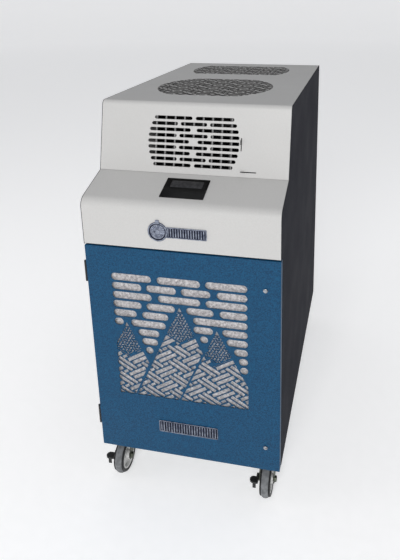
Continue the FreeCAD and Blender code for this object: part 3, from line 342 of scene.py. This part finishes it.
# ---------------------------------------------------------------- fascia badge
# A round blank medallion with a lug on top, in one casting with a fluted bar. The medallion has a
# raised bead round its edge and a dished middle with ribs.
def turned(profile, middle, axis, steps=64):
    """Solid turned from an outline of (radius, along) points."""
    shape = bmesh.new()
    axis = Vector(axis)
    out = Vector((1, 0, 0)) if abs(axis.z) > 0.5 else Vector((0, 0, 1))
    verts = [shape.verts.new(Vector(middle) + out * radius + axis * along)
             for radius, along in profile]
    ends = verts[1:] if profile[0][0] == profile[-1][0] == 0 else verts[1:] + verts[:1]
    edges = [shape.edges.new(pair) for pair in zip(verts, ends)]
    bmesh.ops.spin(shape, geom=verts + edges, cent=middle, axis=axis, angle=math.tau, steps=steps,
                   use_merge=True)
    bmesh.ops.remove_doubles(shape, verts=shape.verts, dist=0.00001)
    return shape


def add(shape, other):
    """Join a second bmesh into the first."""
    holder = bpy.data.meshes.new("holder")
    other.to_mesh(holder)
    other.free()
    shape.from_mesh(holder)
    bpy.data.meshes.remove(holder)


badge_low, badge_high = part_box("fascia_badge")
badge_depth = badge_high.y - badge_low.y
MEDAL_R = 0.0255
BEAD_R = MEDAL_R - 0.0022
BEAD_FOOT_R = MEDAL_R - 0.0036
DITCH_R = MEDAL_R - 0.0065
RIBS = 20
RIB_HALF = 0.0009
RIB_INNER = 0.0075
RIB_OUTER = MEDAL_R - 0.0078
LUG_HALF = 0.005
LUG_LAP = 0.003
LUG_SET_BACK = 0.0008
BAR_HALF = 0.014
BAR_LAP = 0.0045
BAR_SET_BACK = 0.0007
medal_middle = (badge_low.x + MEDAL_R, badge_high.y, badge_low.z + MEDAL_R)
casting = turned(
    [(0, 0), (MEDAL_R, 0), (MEDAL_R, badge_depth * 0.6), (MEDAL_R - 0.001, badge_depth * 0.95),
     (BEAD_R, badge_depth), (BEAD_FOOT_R, badge_depth * 0.9),
     (MEDAL_R - 0.005, badge_depth * 0.45), (DITCH_R, badge_depth * 0.45),
     (MEDAL_R - 0.0075, badge_depth * 0.55), (0.0072, badge_depth * 0.6),
     (0.0062, badge_depth * 0.85), (0, badge_depth * 0.95)],
    medal_middle, (0, -1, 0), steps=72)
for face in casting.faces:
    spot = face.calc_center_median() - Vector(medal_middle)
    face.material_index = 1 if DITCH_R < math.hypot(spot.x, spot.z) < BEAD_FOOT_R else 0
for number in range(RIBS):
    rib = bmesh.new()
    rib_verts = block(rib, (-RIB_HALF, -badge_depth * 0.86, RIB_INNER),
                      (RIB_HALF, -badge_depth * 0.5, RIB_OUTER))
    round_corners(rib, edges_along(rib_verts, 2), 0.0004, segments=2)
    rib_turn = Matrix.Rotation(number * math.tau / RIBS, 4, "Y")
    bmesh.ops.transform(rib, matrix=Matrix.Translation(medal_middle) @ rib_turn, verts=rib.verts)
    add(casting, rib)
lug = bmesh.new()
lug_verts = block(
    lug,
    (medal_middle[0] - LUG_HALF, badge_low.y + LUG_SET_BACK, badge_low.z + 2 * MEDAL_R - LUG_LAP),
    (medal_middle[0] + LUG_HALF, badge_high.y, badge_high.z))
round_corners(lug, edges_along(lug_verts, 1), 0.0022)
add(casting, lug)
bar = bmesh.new()
bar_low = (badge_low.x + 2 * MEDAL_R - BAR_LAP, badge_low.y + BAR_SET_BACK,
           medal_middle[2] - BAR_HALF)
bar_high = (badge_high.x, badge_high.y, medal_middle[2] + BAR_HALF)
rimmed_plate(bar, bar_low, bar_high, rim=0.002, groove=0.0007, flutes=15, corner=0.0025)
add(casting, bar)
fascia_casting = piece("fascia_badge_casting", casting, "cabinet", "badge_metal",
                       badge_metal, badge_ground)
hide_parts("fascia_badge")

# ---------------------------------------------------------------- mesh filter
# A washable filter of crumpled expanded aluminium: two layers of open diamond mesh over a creased
# foil, in a folded frame that slides in the rails on the door's back.
filter_low, filter_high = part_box("mesh_filter")
FILTER_RIM = 0.006
LAYER_GAP = 0.0022
FOIL_FROM_BACK = 0.0056
DIAMOND_STRETCH = 1.35
mat_low = filter_low + Vector((FILTER_RIM, 0, FILTER_RIM))
mat_high = filter_high - Vector((FILTER_RIM, 0, FILTER_RIM))


def trim_to_mat(shape):
    """Cut a sheet off at the frame's inner edges."""
    for axis in (0, 2):
        for corner, sign in ((mat_low, -1), (mat_high, 1)):
            outward = Vector((0, 0, 0))
            outward[axis] = sign
            everything = shape.verts[:] + shape.edges[:] + shape.faces[:]
            bmesh.ops.bisect_plane(shape, geom=everything, dist=1e-6, plane_co=corner,
                                   plane_no=outward, clear_outer=True)


def crumple(shape, depth, height, size, seed):
    """Push a sheet in and out by creased noise: large folds, with two finer sets on them."""
    for vert in shape.verts:
        spot = Vector((vert.co.x / size + seed, seed * 1.7, vert.co.z / size))
        fold = (abs(noise.noise(spot)) + 0.45 * noise.noise(spot * 2.7)
                + 0.2 * noise.noise(spot * 6.1))
        vert.co.y = depth + max(-1.0, min(1.0, fold * 1.6 - 0.4)) * height


def expanded_layer(pitch, strand, depth, seed):
    """Open diamond mesh, crumpled and cut to the frame."""
    middle = (mat_low + mat_high) / 2
    cells = math.ceil(math.hypot(mat_high.x - mat_low.x, mat_high.z - mat_low.z) / pitch)
    lie = (Matrix.Translation((middle.x, depth, middle.z))
           @ Matrix.Rotation(math.radians(90), 4, "X")
           @ Matrix.Diagonal((DIAMOND_STRETCH, 1.0, 1.0, 1.0))
           @ Matrix.Rotation(math.radians(45), 4, "Z"))
    shape = bmesh.new()
    bmesh.ops.create_grid(shape, x_segments=cells, y_segments=cells, size=cells * pitch / 2,
                          matrix=lie)
    trim_to_mat(shape)
    crumple(shape, depth, height=0.0012, size=0.012, seed=seed)
    bmesh.ops.wireframe(shape, faces=shape.faces, thickness=strand, offset=0.0, use_replace=True,
                        use_boundary=True, use_even_offset=False)
    return shape


def dull_aluminium(name, deep, light, scale):
    """Oxidised aluminium: part mirror, part chalky white, mottled at the size of its creases."""
    made = metal(name, deep, light, 0.4, 0.6, scale)
    shader_input(made, "Metallic").default_value = 0.2
    return made


filter_metal = dull_aluminium("filter_aluminium", colour(176, 173, 174), colour(240, 237, 237),
                              170.0)
foil_metal = dull_aluminium("filter_foil", colour(158, 155, 157), colour(236, 233, 233), 170.0)
front_depth = filter_low.y + LAYER_GAP
piece("filter_mesh_front",
      expanded_layer(pitch=0.0046, strand=0.0008, depth=front_depth, seed=3.1),
      "door", "filter_aluminium", filter_metal)
piece("filter_mesh_rear",
      expanded_layer(pitch=0.0054, strand=0.0010, depth=front_depth + LAYER_GAP, seed=8.4),
      "door", "filter_aluminium", filter_metal)
foil_shape = bmesh.new()
foil_middle = (mat_low + mat_high) / 2
foil_place = (Matrix.Translation((foil_middle.x, 0, foil_middle.z))
              @ Matrix.Rotation(math.radians(90), 4, "X")
              @ Matrix.Diagonal((mat_high.x - mat_low.x, mat_high.z - mat_low.z, 1.0, 1.0)))
bmesh.ops.create_grid(foil_shape, x_segments=120, y_segments=124, size=0.5, matrix=foil_place)
crumple(foil_shape, filter_high.y - FOIL_FROM_BACK, height=0.0016, size=0.007, seed=5.2)
foil_sheet = piece("filter_foil", foil_shape, "door", "filter_aluminium", foil_metal)
foil_sheet.data.shade_flat()

filter_frame_shape = bmesh.new()
block(filter_frame_shape, filter_low, filter_high)
filter_frame_shape.normal_update()
open_faces = [face for face in filter_frame_shape.faces if abs(face.normal.y) > 0.9]
bmesh.ops.inset_individual(filter_frame_shape, faces=open_faces, thickness=FILTER_RIM,
                           use_even_offset=True)
loops = [edge for face in open_faces for edge in face.edges]
bmesh.ops.delete(filter_frame_shape, geom=open_faces, context="FACES_ONLY")
bmesh.ops.bridge_loops(filter_frame_shape, edges=loops)
round_corners(filter_frame_shape, filter_frame_shape.edges[:], 0.0006, segments=2)
frame_metal = metal("filter_frame_aluminium", colour(150, 152, 156), colour(186, 188, 190),
                    0.3, 0.46, 40.0, stretch=(1.0, 1.0, 5.0))
filter_frame = piece("filter_frame", filter_frame_shape, "door", "filter_aluminium", frame_metal)
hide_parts("mesh_filter")


# ---------------------------------------------------------------- door hardware
# Two pin hinges in black electro-coat at the left front corner, two quarter-turn fasteners with
# bright slotted heads on the right, and a moulded rubber seal round the cabinet's mouth.
def moulding(name, deep, light, smooth, rough, scale, height, **inputs):
    """Plastic, rubber or flat paint: mottled colour, uneven gloss and a fine moulded texture."""
    made = material(name, **inputs)
    link(made, ramp(made, grain(made, scale), (0.35, deep), (0.65, light)),
         shader_input(made, "Base Color"))
    link(made, spread(made, grain(made, scale * 0.3, detail=5.0), smooth, rough),
         shader_input(made, "Roughness"))
    relief(made, (grain(made, scale * 3.0, detail=2.0), height))
    return made


hinge_coat = moulding("hinge_black", colour(16, 16, 18), colour(30, 30, 33), 0.34, 0.5,
                      scale=260.0, height=0.00003)
dress(hinge_coat, "cabinet_hinges", "door_hinge_leaves")
latch_chrome = metal("latch_chrome", colour(128, 130, 134), colour(176, 178, 182), 0.16, 0.3, 90.0)
dress(latch_chrome, "upper_latch", "lower_latch")
seal_rubber = moulding("gasket_rubber", colour(18, 18, 18), colour(32, 32, 32), 0.6, 0.8,
                       scale=300.0, height=0.00006)
dress(seal_rubber, "door_gasket")

# ---------------------------------------------------------------- fascia and hood
# Two folded sheets in light grey powder coat: the upright fascia with the slope above it, and the
# inclined vent face with the top, which also carries the two round grilles.
LIGHT_GREY = (colour(187, 186, 184), colour(191, 190, 188), 0.46, 0.00002, 0.3)
grey_coat = powder_coat("light_grey_powder_coat", *LIGHT_GREY)
dress(grey_coat, "control_fascia")


def within(made, value, low, high):
    """One where a value lies between two limits, nought elsewhere."""
    middle, half = (low + high) / 2, (high - low) / 2
    inside = node(made, "ShaderNodeMath", operation="COMPARE")
    inside.inputs[1].default_value = middle
    inside.inputs[2].default_value = half
    link(made, value, inside.inputs[0])
    return inside.outputs[0]


def both(made, first, second):
    """One where two masks are both one."""
    overlap = node(made, "ShaderNodeMath", operation="MULTIPLY")
    link(made, first, overlap.inputs[0])
    link(made, second, overlap.inputs[1])
    return overlap.outputs[0]


# Painted shade: the grilles' punched edges are coloured dark, standing in for the shade inside the
# openings.
# The mask takes the sheet's edge below its top skin, in the part of the top that has the grilles.
TOP_SKIN = 0.0001
EDGE_DEPTH = 0.0030
GRILLES_HALF = 0.20
GRILLES_FROM_FRONT = 0.07
GRILLES_FROM_BACK = 0.03
MIX_FIRST, MIX_SECOND, MIX_COLOUR = 6, 7, 2
hood_low, hood_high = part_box("top_hood")
hood_coat = powder_coat("hood_powder_coat", *LIGHT_GREY)
hood_space = node(hood_coat, "ShaderNodeTexCoord")
hood_axes = node(hood_coat, "ShaderNodeSeparateXYZ")
link(hood_coat, hood_space.outputs["Object"], hood_axes.inputs["Vector"])
painted_shade_mask = within(hood_coat, hood_axes.outputs["Z"], hood_high.z - EDGE_DEPTH,
                   hood_high.z - TOP_SKIN)
for axis, start, end in (("X", -GRILLES_HALF, GRILLES_HALF),
                         ("Y", hood_low.y + GRILLES_FROM_FRONT, hood_high.y - GRILLES_FROM_BACK)):
    painted_shade_mask = both(hood_coat, painted_shade_mask, within(hood_coat, hood_axes.outputs[axis], start, end))
# Painted shade colour mixed over the coat where the mask is one.
painted_shade_mix = node(hood_coat, "ShaderNodeMix", data_type="RGBA")
coated = shader_input(hood_coat, "Base Color").links[0].from_socket
link(hood_coat, painted_shade_mask, painted_shade_mix.inputs[0])
link(hood_coat, coated, painted_shade_mix.inputs[MIX_FIRST])
painted_shade_mix.inputs[MIX_SECOND].default_value = colour(70, 69, 67)
link(hood_coat, painted_shade_mix.outputs[MIX_COLOUR], shader_input(hood_coat, "Base Color"))
dress(hood_coat, "top_hood")

# ---------------------------------------------------------------- display window
# A black acrylic pane set in the slope. A strip of smoked lens, with the display behind it, stands
# a little proud of the pane.
pane_black = moulding("window_black", colour(5, 5, 6), colour(9, 9, 10), 0.08, 0.16,
                      scale=120.0, height=0.000005, Specular_IOR_Level=0.12)
dress(pane_black, "display_window")
lens_smoke = moulding("window_lens", colour(40, 40, 42), colour(54, 54, 56), 0.14, 0.24,
                      scale=150.0, height=0.000005, Specular_IOR_Level=0.2)
SLOPE_RISE = 41.5
SLOPE_RUN = 118.0
pane_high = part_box("display_window")[1]
slope_frame = (Matrix.Translation((0, pane_high.y, pane_high.z))
               @ Matrix.Rotation(math.atan2(SLOPE_RISE, SLOPE_RUN), 4, "X"))


def slope_plate(low, high, corner, soft):
    """Small plate laid on the slope: across, then up the slope, then off its surface."""
    shape = bmesh.new()
    verts = block(shape, low, high)
    round_corners(shape, edges_along(verts, 2), corner)
    upper = [e for e in shape.edges if min(v.co.z for v in e.verts) > high[2] - 1e-6]
    round_corners(shape, upper, soft, segments=2)
    bmesh.ops.transform(shape, matrix=slope_frame, verts=shape.verts)
    return shape


lens_shape = slope_plate((-0.041, -0.036, -0.0008), (0.043, -0.010, 0.0003),
                         corner=0.002, soft=0.0002)
piece("display_lens", lens_shape, "cabinet", "window_plastic", lens_smoke)

# ---------------------------------------------------------------- side panels
# Flat steel sides in charcoal powder coat with lips folded in at their edges, and the rear panel
# with its air slots.
charcoal_coat = powder_coat("charcoal_powder_coat", colour(40, 40, 46), colour(47, 48, 55),
                            roughness=0.6, peel=0.00002, gloss=0.01)
dress(charcoal_coat, "left_side_panel", "right_side_panel", "rear_panel")

# ---------------------------------------------------------------- air deflector
# A painted duct behind the vent face. Nine upright vanes turn in it, and three dark level blades
# behind them. A flat link with a tab moves each set.
VANES = 9
vane_paint = moulding("vane_paint", colour(120, 120, 120), colour(140, 140, 140), 0.4, 0.52,
                      scale=240.0, height=0.00002)
dress(vane_paint, *(f"vane_{number}" for number in range(1, VANES + 1)))
dark_paint = moulding("dark_paint", colour(16, 16, 17), colour(28, 28, 30), 0.5, 0.66,
                      scale=260.0, height=0.00003)
dress(dark_paint, "blade_1", "blade_2", "blade_3", "blade_link", "vane_link")
box_paint = moulding("box_paint", colour(150, 150, 150), colour(168, 168, 168), 0.5, 0.6,
                     scale=200.0, height=0.00002)
dress(box_paint, "deflector_box")

# ---------------------------------------------------------------- fans
# Two axial fans of black moulded plastic, in bell mouths of a black deck under the grilles. Their
# motors hang below in pressed steel cans.
fan_plastic = moulding("fan_plastic", colour(9, 9, 10), colour(18, 18, 19), 0.5, 0.62,
                       scale=260.0, height=0.00003, Specular_IOR_Level=0.25)
dress(fan_plastic, "front_fan", "rear_fan")
deck_black = moulding("deck_black", colour(8, 8, 9), colour(16, 16, 17), 0.6, 0.75,
                      scale=200.0, height=0.00004, Specular_IOR_Level=0.2)
dress(deck_black, "fan_deck")
motor_steel = metal("motor_steel", colour(84, 86, 90), colour(118, 120, 124), 0.34, 0.5, 50.0,
                    stretch=(1.0, 1.0, 6.0))
dress(motor_steel, "fan_motors")


# ---------------------------------------------------------------- inner sheets
# Base pan, frame behind the door, drain pan and electrical box, folded from galvanised sheet and
# left unpainted.
def zinc_coat(name, deep, light, smooth, rough):
    """Hot-dip zinc: flat crystal spangles, each with its own tone and gloss."""
    made = material(name, metallic=0.85)
    place = node(made, "ShaderNodeTexCoord")
    spangle = node(made, "ShaderNodeTexVoronoi", Scale=70.0)
    link(made, place.outputs["Object"], spangle.inputs["Vector"])
    tone = node(made, "ShaderNodeSeparateColor")
    link(made, spangle.outputs["Color"], tone.inputs["Color"])
    link(made, ramp(made, tone.outputs["Red"], (0.1, deep), (0.9, light)),
         shader_input(made, "Base Color"))
    link(made, spread(made, tone.outputs["Green"], smooth, rough), shader_input(made, "Roughness"))
    relief(made, (grain(made, 400.0), 0.00002))
    return made


zinc_sheet = zinc_coat("galvanised_sheet", colour(118, 122, 126), colour(160, 164, 168), 0.3, 0.5)
dress(zinc_sheet, "base_pan", "front_frame", "drain_pan", "electrical_box")

# ---------------------------------------------------------------- coils
# Evaporator in front, condenser behind it: two rows of tubes pressed through thin aluminium fins,
# whose collars cover them, between two galvanised end plates. Copper lines join them up.
FIN_PITCH = 0.0022
FIN_SHEET = 0.00025
FIN_INSET = 0.005
TUBE_ROWS = 2
TUBE_ROW_PITCH = 0.025
TUBES = 10
TUBE_STEP = 0.049
TUBE_R = 0.0048
TUBE_WALL = 0.0008
END_PLATE = 0.0015
coil_aluminium = metal("coil_aluminium", colour(150, 154, 158), colour(196, 200, 204), 0.3, 0.46,
                       70.0, stretch=(1.0, 1.0, 4.0))
tube_copper = metal("tube_copper", colour(150, 84, 58), colour(194, 118, 84), 0.22, 0.4, 60.0)


def fin_pack(name):
    """Fins, tubes and end plates in the room of one coil."""
    low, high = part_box(name)
    flange = Vector((0, 0.002, 0.005))
    fins_low, fins_high = low + flange, high - flange
    length = high.x - low.x
    fins = bmesh.new()
    for number in range(int((length - 2 * FIN_INSET) / FIN_PITCH)):
        left = low.x + FIN_INSET + number * FIN_PITCH
        block(fins, (left, fins_low.y, fins_low.z), (left + FIN_SHEET, fins_high.y, fins_high.z))
    pack = piece(name + "_fins", fins, "cabinet", "coil_aluminium", coil_aluminium)
    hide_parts(name)
    tubes = bmesh.new()
    wall = [(TUBE_R - TUBE_WALL, 0), (TUBE_R, 0), (TUBE_R, length), (TUBE_R - TUBE_WALL, length)]
    for row in range(TUBE_ROWS):
        for number in range(TUBES):
            end = (low.x, fins_low.y + TUBE_ROW_PITCH * (row + 0.5),
                   fins_low.z + TUBE_ROW_PITCH + number * TUBE_STEP)
            add(tubes, turned(wall, end, (1, 0, 0), steps=20))
    piece(name + "_tubes", tubes, "cabinet", "coil_aluminium", coil_aluminium)
    plates = bmesh.new()
    for left in (low.x, high.x - END_PLATE):
        verts = block(plates, (left, low.y, low.z), (left + END_PLATE, high.y, high.z))
        round_corners(plates, edges_along(verts, 0), 0.004)
    piece(name + "_end_plates", plates, "cabinet", "galvanised_steel", zinc_sheet)


fin_pack("evaporator_coil")
fin_pack("condenser_coil")
dress(tube_copper, "refrigerant_pipes")

# ---------------------------------------------------------------- compressor
# A hermetic pot in black paint on three rubber buffers. A weld bead runs round its middle, where
# the two pressed halves of the shell meet.
POT_R = 0.062
FOOT_REACH = 0.092
WELD_HALF = 0.003
pot_paint = moulding("compressor_paint", colour(12, 12, 13), colour(24, 24, 25), 0.26, 0.4,
                     scale=40.0, height=0.00012)
dress(pot_paint, "compressor")
pot_low, pot_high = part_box("compressor")
mount_low, mount_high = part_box("compressor_mounts")
pot_middle = Vector(((mount_low.x + mount_high.x) / 2, pot_high.y - FOOT_REACH,
                     (pot_low.z + pot_high.z) / 2))
weld_outline = [(POT_R - 0.001, -WELD_HALF), (POT_R + 0.0012, -0.0022), (POT_R + 0.002, 0),
                (POT_R + 0.0012, 0.0022), (POT_R - 0.001, WELD_HALF)]
weld_shape = turned(weld_outline, pot_middle, (0, 0, 1), steps=72)
piece("compressor_weld", weld_shape, "cabinet", "compressor_paint", pot_paint)
buffer_rubber = moulding("mount_rubber", colour(16, 16, 16), colour(28, 28, 28), 0.6, 0.8,
                         scale=200.0, height=0.00008)
dress(buffer_rubber, "compressor_mounts")

# ---------------------------------------------------------------- cord gland and fasteners
# A cable gland of black nylon in the rear panel, and zinc-plated bolts and screws that hold the
# casters and the panel.
gland_nylon = moulding("gland_nylon", colour(14, 14, 15), colour(24, 24, 25), 0.4, 0.55,
                       scale=260.0, height=0.00003)
dress(gland_nylon, "cord_gland")
bolt_zinc = metal("bolt_zinc", colour(128, 130, 126), colour(170, 172, 166), 0.26, 0.42, 120.0)
dress(bolt_zinc, "fasteners")

# ---------------------------------------------------------------- casters
# Four plate casters: pressed steel forks with a dull greenish zinc finish, moulded wheel centres,
# and grey rubber tyres whose sidewalls are painted dark as painted shade. The front pair has side
# brakes.
caster_zinc = metal("caster_zinc", colour(66, 70, 62), colour(104, 108, 98), 0.34, 0.52, 60.0)
wheel_plastic = moulding("wheel_plastic", colour(206, 206, 204), colour(220, 220, 218), 0.4, 0.54,
                         scale=180.0, height=0.00004)
tread_rubber = moulding("tyre_tread", colour(92, 94, 96), colour(120, 122, 124), 0.6, 0.8,
                        scale=90.0, height=0.00012)
# Painted shade: a dark rubber for the sidewall band, standing in for the shadow on the tyre's
# side.
painted_shade_sidewall = moulding("tyre_sidewall_painted_shade", colour(26, 27, 28), colour(40, 41, 42), 0.56, 0.74,
                           scale=110.0, height=0.00008)
pedal_black = moulding("pedal_black", colour(14, 15, 15), colour(30, 31, 31), 0.34, 0.5,
                       scale=160.0, height=0.00005)
TYRE_R = 0.050
TYRE_SEAT = 0.037
TYRE_HALF = 0.015
SIDEWALL_R = 0.0455
TREAD_CURVE = 0.0148
TREAD_EDGE = 56
TREAD_STEP = 14


def tyre(corner):
    """Tyre with a domed tread, a step at the shoulder and a rounded bead at the wheel."""
    low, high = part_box(corner + "_tyre")
    middle = (low + high) / 2
    near_side = [(TYRE_SEAT, 0.012), (TYRE_SEAT + 0.001, 0.0138), (0.041, TYRE_HALF),
                 (0.0438, 0.0147), (SIDEWALL_R - 0.0004, 0.0136), (SIDEWALL_R, 0.0127)]
    far_side = [(radius, -along) for radius, along in reversed(near_side)]
    tread = [(TYRE_R - TREAD_CURVE + TREAD_CURVE * math.cos(turn), TREAD_CURVE * math.sin(turn))
             for turn in map(math.radians, range(TREAD_EDGE, -TREAD_EDGE - 1, -TREAD_STEP))]
    shape = turned(far_side[-1:] + near_side + tread + far_side[:-1], middle, (1, 0, 0), steps=96)
    # Painted shade: faces inside the sidewall radius take the dark sidewall material.
    for face in shape.faces:
        spot = face.calc_center_median() - middle
        face.material_index = 0 if math.hypot(spot.y, spot.z) > SIDEWALL_R else 1
    made = piece(corner + "_tyre_rubber", shape, corner + "_roller", "tyre_rubber",
                 tread_rubber, painted_shade_sidewall)
    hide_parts(corner + "_tyre")


for corner in ("front_left", "front_right", "rear_left", "rear_right"):
    dress(caster_zinc, corner + "_fork")
    dress(wheel_plastic, corner + "_wheel")
    tyre(corner)
dress(caster_zinc, "caster_plates")
dress(pedal_black, "front_left_brake", "front_right_brake")
